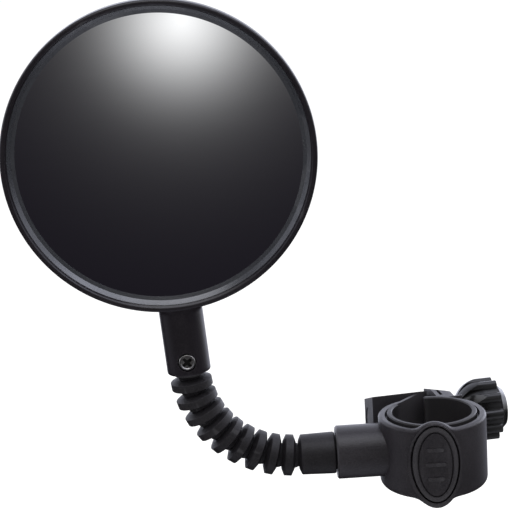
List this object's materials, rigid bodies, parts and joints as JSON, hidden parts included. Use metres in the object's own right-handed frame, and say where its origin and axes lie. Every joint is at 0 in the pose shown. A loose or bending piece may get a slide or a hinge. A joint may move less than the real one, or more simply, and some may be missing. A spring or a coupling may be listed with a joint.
{
  "type": "bicycle handlebar mirror",
  "caption": "Round convex bicycle mirror on a bendable ribbed neck with a knob-tightened handlebar clamp.",
  "frame": {"origin": "centre of the handlebar bore of the clamp", "axes": "+Z along the bore; -X along the socket tube towards the neck; -Y towards the reflecting side of the mirror"},
  "size_m": [0.1373, 0.0501, 0.1424],
  "materials": {
    "black_plastic": "satin moulded",
    "neck_plastic": "matte moulded",
    "liner_plastic": "matte",
    "steel": "dark zinc plated",
    "brass": "turned",
    "mirror": "polished",
    "foam": "closed-cell foam"
  },
  "bodies": {
    "clamp": {"clamp_body": "black_plastic", "bar_liner": "liner_plastic", "badge_insert": "black_plastic", "clamp_bolt": "steel"},
    "washer": {"knob_washer": "steel"},
    "knob": {"knob_body": "black_plastic", "knob_insert": "brass", "knob_cap": "black_plastic"},
    "arm": {"neck_root_plug": "neck_plastic", "swivel_screw": "steel"},
    "link_01": {"neck_link_01": "neck_plastic"},
    "link_02": {"neck_link_02": "neck_plastic"},
    "link_03": {"neck_link_03": "neck_plastic"},
    "link_04": {"neck_link_04": "neck_plastic"},
    "link_05": {"neck_link_05": "neck_plastic"},
    "link_06": {"neck_link_06": "neck_plastic"},
    "link_07": {"neck_link_07": "neck_plastic"},
    "link_08": {"neck_link_08": "neck_plastic"},
    "link_09": {"neck_link_09": "neck_plastic"},
    "head": {"neck_top_plug": "neck_plastic", "stem_screw": "steel", "mirror_housing": "black_plastic", "mirror_glass": "mirror", "adhesive_pad": "foam", "retaining_ring": "black_plastic"}
  },
  "joints": [
    {"name": "washer_slide", "type": "slide", "parent": "clamp", "child": "washer", "axis": [0.9877, 0.1564, 0], "range_m": [0, 0.0044]},
    {"name": "knob_spin", "type": "hinge", "parent": "washer", "child": "knob", "pos_m": [-0.00344, 0.02173, 0.001], "axis": [0.9877, 0.1564, 0], "range_deg": [0, 1980]},
    {"name": "arm_swivel", "type": "hinge", "parent": "clamp", "child": "arm", "pos_m": [-0.022, 0, 0], "axis": [1, 0, 0], "range_deg": [-180, 180]},
    {"name": "bend_01", "type": "hinge", "parent": "arm", "child": "link_01", "pos_m": [-0.0395, 0, 0], "axis": [0, 1, 0], "range_deg": [-12, 1]},
    {"name": "bend_02", "type": "hinge", "parent": "link_01", "child": "link_02", "pos_m": [-0.0441, 0, 0.00052], "axis": [0, 1, 0], "range_deg": [-12, 1]},
    {"name": "bend_03", "type": "hinge", "parent": "link_02", "child": "link_03", "pos_m": [-0.04855, 0, 0.0018], "axis": [0, 1, 0], "range_deg": [-12, 1]},
    {"name": "bend_04", "type": "hinge", "parent": "link_03", "child": "link_04", "pos_m": [-0.05273, 0, 0.00379], "axis": [0, 1, 0], "range_deg": [-12, 1]},
    {"name": "bend_05", "type": "hinge", "parent": "link_04", "child": "link_05", "pos_m": [-0.05652, 0, 0.00645], "axis": [0, 1, 0], "range_deg": [-12, 1]},
    {"name": "bend_06", "type": "hinge", "parent": "link_05", "child": "link_06", "pos_m": [-0.05982, 0, 0.00969], "axis": [0, 1, 0], "range_deg": [-12, 1]},
    {"name": "bend_07", "type": "hinge", "parent": "link_06", "child": "link_07", "pos_m": [-0.06255, 0, 0.01344], "axis": [0, 1, 0], "range_deg": [-12, 1]},
    {"name": "bend_08", "type": "hinge", "parent": "link_07", "child": "link_08", "pos_m": [-0.06461, 0, 0.01758], "axis": [0, 1, 0], "range_deg": [-12, 1]},
    {"name": "bend_09", "type": "hinge", "parent": "link_08", "child": "link_09", "pos_m": [-0.06597, 0, 0.02201], "axis": [0, 1, 0], "range_deg": [-12, 1]},
    {"name": "bend_10", "type": "hinge", "parent": "link_09", "child": "head", "pos_m": [-0.06657, 0, 0.0266], "axis": [0, 1, 0], "range_deg": [-12, 1]}
  ],
  "couplings": [
    {"joint": "knob_spin", "follows": "washer_slide", "rad_per_m": 7854}
  ]
}
